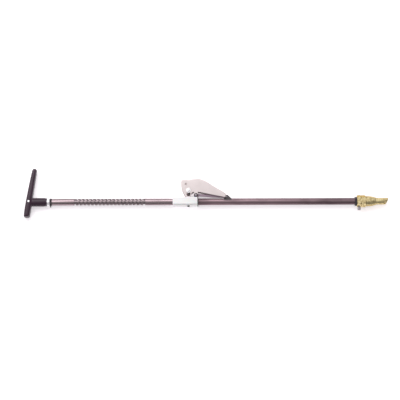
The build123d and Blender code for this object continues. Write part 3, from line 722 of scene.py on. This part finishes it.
def along_curve(share, values):
    """The value at share of the way along evenly spaced values, eased between them."""
    place = min(max(share, 0.0), 1.0) * (len(values) - 1)
    k = min(int(place), len(values) - 2)
    t = place - k
    before, first, second = values[max(k - 1, 0)], values[k], values[k + 1]
    after = values[min(k + 2, len(values) - 1)]
    return 0.5 * (
        2 * first
        + (second - before) * t
        + (2 * before - 5 * first + 4 * second - after) * t * t
        + (3 * first - before - 3 * second + after) * t**3
    )


def smooth_line(points, steps):
    """A smooth open line through 2D points, with steps parts between each two."""
    parts = (len(points) - 1) * steps
    xs, ys = [p[0] for p in points], [p[1] for p in points]
    return [(along_curve(k / parts, xs), along_curve(k / parts, ys)) for k in range(parts + 1)]


def flat_prism(outline, half):
    """A closed outline stood up along Z from -half to half."""
    bm = bmesh.new()
    skin(bm, [[(x, y, z) for x, y in outline] for z in (-half, half)], caps=True)
    return bm


def rim_slab(rim, inset, half, fold):
    """A slab under a rim line moved in by inset. Its edges along the rim are rounded by fold."""
    bm = bmesh.new()
    rows = []
    below = 90 * mm  # deep enough to pass the lever's hem
    corner = [(fold * (1 - sin(a)), half - fold + fold * cos(a)) for a in (pi / 2 * k / 6 for k in range(7))]
    turned = [(d, -z) for d, z in reversed(corner)]
    depths = [(below, half)] + corner + turned + [(below, -half)]
    for k, point in enumerate(rim):
        ahead, back = Vector(rim[min(k + 1, len(rim) - 1)]), Vector(rim[max(k - 1, 0)])
        tangent = (ahead - back).normalized()
        inward = Vector((tangent.y, -tangent.x))
        ring = []
        for depth, z in depths:
            if depth == below:
                spot = Vector((point[0], point[1] - depth))
            else:
                spot = Vector(point) + inward * (inset + depth)
            ring.append((spot.x, spot.y, z))
        rows.append(ring)
    skin(bm, rows, caps=True)
    return bm


def dome(radius, height, steps, fullness):
    """A round head's side as (height, radius) points, from its rim nearly to its crown."""
    angles = [pi / 2 * k / steps for k in range(steps)]
    return [(height * sin(a), radius * cos(a) ** fullness) for a in angles]


def span(node):
    """A node's middle, its low corner and its high corner."""
    low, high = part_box(node)
    return (low + high) / 2, low, high


# ---- operators


class PROBE_OT_finishes(bpy.types.Operator):
    """Make every finish and give it to the frame's own nodes"""

    bl_idname = "probe.finishes"
    bl_label = "Finishes"

    def execute(self, context):
        finishes.update(make_finishes(context.scene.probe_colours))
        for name, node in frame["nodes"].items():
            node.data.materials.clear()
            node.data.materials.append(finishes[node_slots[name]])
        return {"FINISHED"}


class PROBE_OT_springs(bpy.types.Operator):
    """Wind the flat return spring and the round-wire post spring"""

    bl_idname = "probe.springs"
    bl_label = "Springs"

    def execute(self, context):
        sizes = context.scene.probe_sizes
        low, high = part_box("return_spring")
        half_w, half_t = sizes.strip_width / 2, sizes.strip_thick / 2
        corners = [(-half_w, -half_t), (half_w, -half_t), (half_w, half_t), (-half_w, half_t)]
        section = soften(corners, 0.5 * mm)
        run = high.x - low.x - sizes.strip_width
        strip = coil(run, high.y - half_t, run / sizes.strip_pitch, section, -1)
        bmesh.ops.translate(strip, vec=(low.x + half_w, 0, 0), verts=strip.verts)
        spring = piece("return_spring_coil", strip, "return_spring", crease=60)
        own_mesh(spring)

        middle, low, high = span("post_spring")
        wire_r = sizes.wire / 2
        round_wire = circle((0, 0), wire_r, 12)
        reach = (high.z - low.z) / 2 - wire_r
        wound = coil(high.y - low.y - sizes.wire, reach, sizes.wire_turns, round_wire, 1)
        stand(wound, (middle.x, low.y + wire_r, 0), (0, 1, 0))
        piece("post_spring_coil", wound, "post_spring", crease=60, slot="spring_steel")
        return {"FINISHED"}


class PROBE_OT_sleeves(bpy.types.Operator):
    """Turn the sleeves, seats, collars and ferrule on the rod"""

    bl_idname = "probe.sleeves"
    bl_label = "Sleeves and collars"

    def execute(self, context):
        edge = context.scene.probe_sizes.edge
        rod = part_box("plunger_rod")[1].z + fit
        rounds = {"upper_sleeve": 0.4, "guide_sleeve": 0.5, "rear_seat": 0.3, "front_seat": 0.3}
        for node, cut in rounds.items():
            low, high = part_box(node)
            bore = rod + (0.25 * mm if node in ("guide_sleeve", "front_seat") else 0)
            piece(node + "_turned", lathe(ring_outline(low.x, high.x, high.z, bore, cut * mm)), node)
        low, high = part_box("end_collar")
        half_section = ring_outline(low.x, high.x, high.z, rod, 0.5 * mm)
        collar = lathe(half_section, 240, teeth=60, deep=0.25 * mm, crest=high.z - 0.2 * mm)
        piece("end_collar_knurled", collar, "end_collar")
        low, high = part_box("ferrule")
        r, third = high.z, (high.x - low.x) / 3
        lip = soften(
            [
                (low.x, rod),
                (low.x, r - 0.2 * mm),
                (low.x + third, r),
                (low.x + third * 1.9, r),
                (low.x + third * 2.0, r - 0.5 * mm),
                (low.x + third * 2.3, r - 0.5 * mm),
                (low.x + third * 2.4, r - 0.1 * mm),
                (high.x, r - 0.4 * mm),
                (high.x, rod),
            ],
            edge,
        )
        piece("ferrule_turned", lathe(lip, 128), "ferrule")
        return {"FINISHED"}


class PROBE_OT_nose(bpy.types.Operator):
    """Turn the brass nose, its nuts, its thumb screw and the slant-cut spout"""

    bl_idname = "probe.nose"
    bl_label = "Brass nose"

    def execute(self, context):
        sizes = context.scene.probe_sizes
        edge, bore = sizes.edge, sizes.tube_bore / 2
        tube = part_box("main_tube")[1].z + fit
        for node, inner in (("hex_nut", tube), ("jam_nut", tube), ("hex_body", bore)):
            middle, low, high = span(node)
            flats = high.z - low.z
            corner = flats / 2 / cos(pi / 6)
            made = hexagon(low.x, high.x, flats, inner, (corner - flats / 2) * 0.8, edge)
            if node == "hex_nut":
                made = carve(made, plug((middle.x, low.y + 1 * mm, 0), (0, 1, 0), 4.3 * mm, 1.2 * mm))
            piece(node + "_turned", made, node)

        pipe_low, pipe_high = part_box("spout")
        pipe = pipe_high.z
        low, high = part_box("nose_cone")
        root, rim, socket = high.z, pipe + 0.95 * mm, pipe - 0.45 * mm
        groove_floor, groove_end = root - 1.3 * mm, low.x + 1.2 * mm
        land, tip, belly = low.x + 5 * mm, high.x - 1.5 * mm, 1.1 * mm
        groove = [(low.x, bore), (low.x, groove_floor), (groove_end, groove_floor), (groove_end, root)]
        side = []
        for t in (k / 24 for k in range(25)):
            bulge = 4 * t * (1 - t) * belly
            side.append((land + (tip - land) * t, root + (rim - root) * t + bulge))
        mouth = [(high.x, rim), (high.x, socket), (pipe_low.x, socket), (pipe_low.x, bore)]
        shoulder = [(low.x + 1.5 * mm, root)]
        half_section = soften(groove, edge / 2, 2) + shoulder + side + soften(mouth, edge, 2)
        piece("nose_cone_turned", lathe(half_section, 144), "nose_cone")

        slant, bearing = sizes.slant, sizes.bearing
        normal = Vector((cos(slant), -sin(slant) * cos(bearing), sin(slant) * sin(bearing)))
        cut = pipe_high.x - pipe * tan(slant)
        lip = 0.35 * mm
        spigot = [(pipe_low.x, bore), (pipe_low.x, socket - fit), (0.0, socket - fit), (0.0, pipe)]
        # How far each line round the slanted end lies behind the cut, and its radius
        brim = (
            (lip, pipe),
            (lip * 0.35, pipe - lip * 0.3),
            (0.0, pipe - lip),
            (0.0, bore + lip),
            (lip * 0.35, bore + lip * 0.3),
            (lip, bore),
        )
        rings = []
        for k in range(144):
            angle = 2 * pi * k / 144
            y, z = cos(angle), sin(angle)
            slope = -(normal.y * y + normal.z * z) / normal.x
            ring = spigot + [(cut + radius * slope - back, radius) for back, radius in brim]
            rings.append([(x, r * y, r * z) for x, r in ring])
        bm = bmesh.new()
        skin(bm, rings, closed=True)
        piece("spout_cut", bm, "spout")

        middle, low, high = span("nut_lock_screw")
        head, shank = (high.x - low.x) / 2, 1.95 * mm
        reach, head_long = high.y - low.y, 9.0 * mm
        neck = reach - head_long
        knob = soften([(neck, shank + 0.2 * mm), (neck, head), (reach, head), (reach, 1.6 * mm)], 0.9 * mm)
        dimple = [(reach - 0.6 * mm, 1.3 * mm), (reach - 0.6 * mm, 0.0)]
        profile = [(0.0, 0.0), (0.0, shank), (neck, shank)] + knob[1:] + dimple
        screw = lathe(profile, 224, teeth=sizes.knurl_teeth, deep=sizes.knurl_deep, crest=head - 0.05 * mm)
        stand(screw, (middle.x, high.y, 0), (0, -1, 0))
        piece("thumb_screw", screw, "nut_lock_screw", slot="pin_steel")
        return {"FINISHED"}


class PROBE_OT_handle(bpy.types.Operator):
    """Mould the leaning handle on its stem, with its screw"""

    bl_idname = "probe.handle"
    bl_label = "Handle"

    def execute(self, context):
        sizes = context.scene.probe_sizes
        low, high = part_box("handle_grip")
        stem_front = high.x
        screw_middle, screw_low, screw_high = span("grip_screw")
        lean = tan(sizes.grip_lean)
        crossing = stem_front - sizes.stem + sizes.grip_ahead
        deep = high.z
        power = 2 / sizes.grip_square
        round_end = 5.0 * mm
        rings = []
        rows = 96
        for k in range(rows + 1):
            y = low.y + (high.y - low.y) * k / rows
            share = k / rows
            wide = along_curve(share, BAR_WIDTHS) * mm
            t = max(1 - min(y - low.y, high.y - y) / round_end, 0.0)
            shrink = round_end * (1 - (1 - t * t) ** 0.5)
            front = crossing + y * lean - shrink * 0.55
            back = crossing + y * lean - wide + shrink * 0.55
            half_x = max((front - back) / 2, 1.0 * mm)
            half_z = max(deep - shrink * 0.8 - 0.4 * mm * (share**2), 2.0 * mm)
            ring = []
            for c, t in circle((0, 0), 1.0, 64):
                x = (front + back) / 2 + half_x * abs(c) ** power * (1 if c > 0 else -1)
                ring.append((x, y, half_z * abs(t) ** power * (1 if t > 0 else -1)))
            rings.append(ring)
        bar = bmesh.new()
        skin(bar, rings, caps=True)
        stem_r, flare_r = sizes.stem_r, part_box("ferrule")[1].z + 0.6 * mm
        stem = lathe(
            [
                (crossing - 9 * mm, 0.0),
                (crossing - 9 * mm, stem_r),
                (stem_front - 11 * mm, stem_r),
                (stem_front - 8 * mm, stem_r + 0.08 * mm),
                (stem_front - 4 * mm, flare_r - 0.1 * mm),
                (stem_front - 0.8 * mm, flare_r),
                (stem_front, flare_r - 0.7 * mm),
                (stem_front, 0.0),
            ],
            96,
        )
        whole = scratch(carve(bar, stem, operation="UNION"))
        grid = whole.modifiers.new("grid", "REMESH")
        grid.mode, grid.voxel_size = "VOXEL", sizes.grip_grid
        ease = whole.modifiers.new("ease", "SMOOTH")
        ease.factor, ease.iterations = 0.5, sizes.grip_blend
        moulded = settled(whole)
        seat = screw_high.z - sizes.grip_screw_deep
        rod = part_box("plunger_rod")[1].z + fit
        moulded = carve(
            moulded,
            plug((screw_middle.x, 0, seat + 20 * mm), (0, 0, 1), sizes.grip_screw_bore / 2, 20 * mm),
            plug((stem_front, 0, 0), (1, 0, 0), rod, 30 * mm),
        )
        piece("handle_moulded", moulded, "handle_grip", crease=50)

        head = (screw_high.x - screw_low.x) / 2
        long = screw_high.z - screw_low.z
        screw = lathe(
            [(0.0, 0.0), (0.0, head * 0.5), (long - 2.2 * mm, head * 0.5), (long - 2.2 * mm, head)]
            + [(long - 0.8 * mm * (1 - sin(pi / 2 * k / 6)), head * cos(pi / 2 * k / 6)) for k in range(7)],
            64,
        )
        stand(screw, (screw_middle.x, 0, screw_low.z), (0, 0, 1))
        slot_half, slot_floor = 0.55 * mm, screw_high.z - 1.0 * mm
        slot = block_cutter(
            (screw_middle.x - head, -slot_half, slot_floor),
            (screw_middle.x + head, slot_half, deep + 2 * mm),
        )
        piece("handle_screw", carve(screw, slot), "grip_screw")
        return {"FINISHED"}


class PROBE_OT_lever(bpy.types.Operator):
    """Fold the lever's channel and shape the stay"""

    bl_idname = "probe.lever"
    bl_label = "Lever and stay"

    def execute(self, context):
        sizes = context.scene.probe_sizes
        pivot = span("pivot_pin")[0]
        link, bracket = span("link_pin")[0], span("bracket_pin")[0]
        low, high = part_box("hand_lever")
        half, sheet, fold = high.z, sizes.sheet, sizes.fold
        foot_r = pivot.y - low.y

        def at(*points):
            return [(pivot.x + x * mm, pivot.y + y * mm) for x, y in points]

        rim = smooth_line(at(*RIM), 12)
        rear = smooth_line(at(*REAR), 8)
        foot = circle(pivot[:2], foot_r, 24, radians(248), radians(34))
        lobe = circle(link[:2], sizes.lobe, 24, pi, pi)
        hem_behind = at(*HEM_BEHIND) + [(link.x - sizes.lobe, pivot.y - 3.6 * mm)]
        hem_ahead = [(link.x + sizes.lobe, pivot.y - 3.9 * mm)] + at(*HEM_AHEAD)
        outline = rear[:-1] + foot + hem_behind + lobe + hem_ahead + at(*ABOVE_RIM)
        cheeks = flat_prism(soften(outline, 1.2 * mm), half + 3 * mm)
        body = rim_slab(rim, 0.0, half, fold)
        hollow = rim_slab(rim, sheet, half - sheet, fold - sheet)
        shell = carve(body, cheeks, operation="INTERSECT")
        hole, window = at(HANGING_HOLE, WINDOW)
        pins = (pivot[:2], 2.5 * mm), (link[:2], 2.0 * mm)
        bores = (hole, sizes.hole / 2), (window, sizes.window / 2), *pins
        drills = [plug((*spot, 0), (0, 0, 1), radius, 40 * mm) for spot, radius in bores]
        piece("lever_folded", carve(shell, hollow, *drills), "hand_lever", crease=28)

        reach = Vector((bracket.x - link.x, bracket.y - link.y))
        heading = atan2(reach.y, reach.x)
        root_r, end_r = sizes.stay_root / 2, sizes.stay_end / 2
        slot_mid, slot_half, slot_r = reach.length - 1.1 * mm, 1.8 * mm, 2.0 * mm
        near, far = slot_mid - slot_half, slot_mid + slot_half
        lead = acos((root_r - end_r) / far)
        waist = [(root_r + 3 * mm, -1.2 * mm), (root_r + 12 * mm, -1.4 * mm), (far * 0.55, -end_r * 0.95)]
        hull = circle((0, 0), root_r, 40, lead, 1.72 * pi - lead) + waist
        hull += circle((far, 0), end_r, 24, -pi / 2, pi / 2 + lead)
        slot = circle((far, 0), slot_r, 12, -pi / 2, pi) + circle((near, 0), slot_r, 12, pi / 2, pi)
        eye = circle((0, 0), 2.03 * mm, 32)
        low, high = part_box("stay_link")
        stay = plate([hull, eye, slot], 0.0, high.z - low.z, 0.6 * mm)
        turned = Matrix.Translation((link.x, link.y, 0)) @ Matrix.Rotation(heading, 4, "Z")
        bmesh.ops.transform(stay, matrix=turned, verts=stay.verts)
        piece("stay_bar", stay, "stay_link", crease=40)
        return {"FINISHED"}


class PROBE_OT_block(bpy.types.Operator):
    """Mould the white block and its black end plate"""

    bl_idname = "probe.block"
    bl_label = "Block"

    def execute(self, context):
        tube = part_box("main_tube")[1].z + fit
        post = span("pivot_post")[0]
        groove_low, groove_high, groove_deep = 0.9 * mm, 2.1 * mm, 4.0 * mm
        for node, name, round_r in (
            ("pivot_block", "block_moulded", 1.6),
            ("block_end_plate", "end_plate_pressed", 0.6),
        ):
            middle, low, high = span(node)
            r = round_r * mm
            outline = soften([(low.x, low.y), (high.x, low.y), (high.x, high.y), (low.x, high.y)], r, 4)
            made = plate([outline], 0.0, high.z - low.z, r * 0.98)
            cutters = [plug((middle.x, 0, 0), (1, 0, 0), tube, 60 * mm, 96)]
            if node == "pivot_block":
                cutters.append(plug((post.x, high.y, 0), (0, 1, 0), 3.55 * mm, high.y - 8 * mm))
                for level in (high.z, low.z):
                    groove = (
                        (low.x - mm, low.y + groove_low, level - groove_deep),
                        (high.x + mm, low.y + groove_high, level + groove_deep),
                    )
                    cutters.append(block_cutter(*groove))
            piece(name, carve(made, *cutters), node, crease=30)
        return {"FINISHED"}


class PROBE_OT_fasteners(bpy.types.Operator):
    """Turn the pins, washers, spacers and small screws"""

    bl_idname = "probe.fasteners"
    bl_label = "Pins and screws"

    def execute(self, context):
        # Millimetres: shank radius and head height
        for node, shank, head_long in (
            ("pivot_pin", 2.5, 1.8),
            ("link_pin", 2.0, 0.9),
            ("bracket_pin", 1.4, 0.9),
        ):
            middle, low, high = span(node)
            head, tall = (high.x - low.x) / 2, high.z - low.z
            shank, head_long = shank * mm, head_long * mm
            side = dome(head, head_long, 6, 0.6)
            profile = [(0.0, 0.0)] + [(head_long - a, r) for a, r in reversed(side)]
            profile += [(head_long, shank), (tall - head_long, shank)]
            profile += [(tall - head_long + a, r) for a, r in side] + [(tall, 0.0)]
            pin = stand(lathe(profile, 64), (middle.x, middle.y, low.z), (0, 0, 1))
            piece(node + "_riveted", pin, node, slot="bright_steel" if node == "pivot_pin" else "pin_steel")
        # Millimetres: bore radius, start out from the middle, rounding
        for node, bore, near, edge in (
            ("pivot_washers", 2.55, 10.2, 0.5),
            ("link_washers", 2.05, 10.2, 0.4),
            ("pivot_spacers", 2.55, 5.35, 0.3),
            ("link_spacers", 2.05, 2.85, 0.3),
        ):
            middle, low, high = span(node)
            outer = (high.x - low.x) / 2
            rings = []
            for side in (1, -1):
                ring = lathe(ring_outline(near * mm, high.z, outer, bore * mm, edge * mm), 72)
                rings.append(stand(ring, (middle.x, middle.y, 0), (0, 0, side)))
            piece(node + "_turned", gather(*rings), node)
        # Millimetres: shank radius, head height, half the slot's width
        for node, shank, head_long, slot in (
            ("block_screw", 2.0, 3.6, 0.5),
            ("collar_screw", 1.7, 3.0, 0.35),
        ):
            middle, low, high = span(node)
            head, tall = (high.x - low.x) / 2, high.y - low.y
            neck = tall - head_long * mm
            profile = [(0.0, 0.0), (0.0, shank * mm), (neck, shank * mm)]
            profile += [(neck + a, r) for a, r in dome(head, head_long * mm, 8, 0.7)] + [(tall, 0.0)]
            screw = stand(lathe(profile, 48), (middle.x, high.y, 0), (0, -1, 0))
            wide = slot * mm
            slot_floor = low.y + 0.9 * mm
            cutter = block_cutter((middle.x - head, low.y - mm, -wide), (middle.x + head, slot_floor, wide))
            piece(node + "_slotted", carve(screw, cutter), node)
        for node, shown in frame["nodes"].items():
            if node in stood_for or node == "main_tube":
                continue
            broken = shown.modifiers.new("broken edge", "BEVEL")
            broken.width, broken.segments, broken.limit_method = 0.2 * mm, 2, "ANGLE"
            broken.angle_limit = radians(38)
        return {"FINISHED"}


class PROBE_OT_stage(bpy.types.Operator):
    """Lay the pale floor, hang the lamps and set the camera"""

    bl_idname = "probe.stage"
    bl_label = "Stage"

    def execute(self, context):
        stage = context.scene.probe_stage
        scene = context.scene
        middle = (cad_low + cad_high) / 2
        bm = bmesh.new()
        bmesh.ops.create_grid(bm, x_segments=2, y_segments=2, size=12.0)
        mesh = bpy.data.meshes.new("floor")
        bm.to_mesh(mesh)
        bm.free()
        floor = placed("floor", mesh)
        floor.location = (middle.x, middle.y, cad_low.z - 0.1 * mm)
        paper = Finish("floor_paper", stage.floor, roughness=0.8, Emission_Strength=stage.glow)
        paper.shader.inputs["Emission Color"].default_value = (1.0, 0.965, 0.995, 1.0)
        paper.paint(paper.blend(paper.noise(0.4, detail=2), paper.base, paper.tint(1.02)))
        mesh.materials.append(paper.material)

        room = bpy.data.worlds.new("room")
        room.use_nodes = True
        nodes, links = room.node_tree.nodes, room.node_tree.links
        sky = nodes["Background"]
        sky.inputs["Color"].default_value = (1.0, 0.985, 0.995, 1.0)
        aim = nodes.new("ShaderNodeTexCoord")
        along = nodes.new("ShaderNodeVectorMath")
        along.operation = "DOT_PRODUCT"
        along.inputs[1].default_value = Vector((-0.4, 0.55, 0.6)).normalized()
        wash = nodes.new("ShaderNodeMapRange")
        wash.interpolation_type = "SMOOTHSTEP"
        wash.inputs["From Min"].default_value, wash.inputs["From Max"].default_value = 0.0, 0.85
        wash.inputs["To Min"].default_value, wash.inputs["To Max"].default_value = stage.shade, stage.sky
        links.new(aim.outputs["Generated"], along.inputs[0])
        links.new(along.outputs["Value"], wash.inputs["Value"])
        links.new(wash.outputs["Result"], sky.inputs["Strength"])
        scene.world = room
        lamp = bpy.data.lights.new("key", "AREA")
        lamp.shape, lamp.size, lamp.size_y, lamp.energy = "RECTANGLE", 1.6, 0.8, stage.key
        key = placed("key", lamp)
        key.location = (middle.x - 0.5, middle.y + 0.75, 1.15)
        key.rotation_euler = (Vector((middle.x, 0, 0)) - key.location).to_track_quat("-Z", "Y").to_euler()

        eye = placed("camera", bpy.data.cameras.new("camera"))
        eye.data.lens = stage.lens
        up = stage.elevation
        back = Vector((0, -cos(up), sin(up)))
        rise = Vector((0, sin(up), cos(up)))
        away = stage.span * stage.lens / eye.data.sensor_width
        target = Vector((-stage.aim, 0, 0)) + rise * stage.lift
        eye.location = target + back * away
        aimed = (-back).to_track_quat("-Z", "Y").to_matrix() @ Matrix.Rotation(stage.roll, 3, "Z")
        eye.rotation_euler = aimed.to_euler()
        eye.data.clip_end = 100.0
        scene.camera = eye
        scene.view_settings.view_transform = "Standard"
        return {"FINISHED"}


class PROBE_PT_panel(bpy.types.Panel):
    """Lists the probe's operators, sizes and colours"""

    bl_idname = "PROBE_PT_panel"
    bl_label = "Grain probe"
    bl_space_type = "VIEW_3D"
    bl_region_type = "UI"
    bl_category = "Grain probe"

    def draw(self, context):
        for made in OPERATORS:
            self.layout.operator(made.bl_idname)
        for group in (context.scene.probe_sizes, context.scene.probe_colours, context.scene.probe_stage):
            for name in group.bl_rna.properties.keys():
                if name not in ("rna_type", "name"):
                    self.layout.prop(group, name)


OPERATORS = (
    PROBE_OT_finishes,
    PROBE_OT_stage,
    PROBE_OT_springs,
    PROBE_OT_sleeves,
    PROBE_OT_nose,
    PROBE_OT_handle,
    PROBE_OT_lever,
    PROBE_OT_block,
    PROBE_OT_fasteners,
)
GROUPS = (ProbeColours, ProbeSizes, ProbeStage)


def register():
    for made in (*GROUPS, *OPERATORS, PROBE_PT_panel):
        bpy.utils.register_class(made)
    bpy.types.Scene.probe_colours = bpy.props.PointerProperty(type=ProbeColours)
    bpy.types.Scene.probe_sizes = bpy.props.PointerProperty(type=ProbeSizes)
    bpy.types.Scene.probe_stage = bpy.props.PointerProperty(type=ProbeStage)


def unregister():
    del bpy.types.Scene.probe_colours
    del bpy.types.Scene.probe_sizes
    del bpy.types.Scene.probe_stage
    for made in (PROBE_PT_panel, *OPERATORS, *GROUPS):
        bpy.utils.unregister_class(made)


def main():
    register()
    for made in OPERATORS:
        space, name = made.bl_idname.split(".")
        getattr(getattr(bpy.ops, space), name)()


if __name__ == "__main__":
    main()
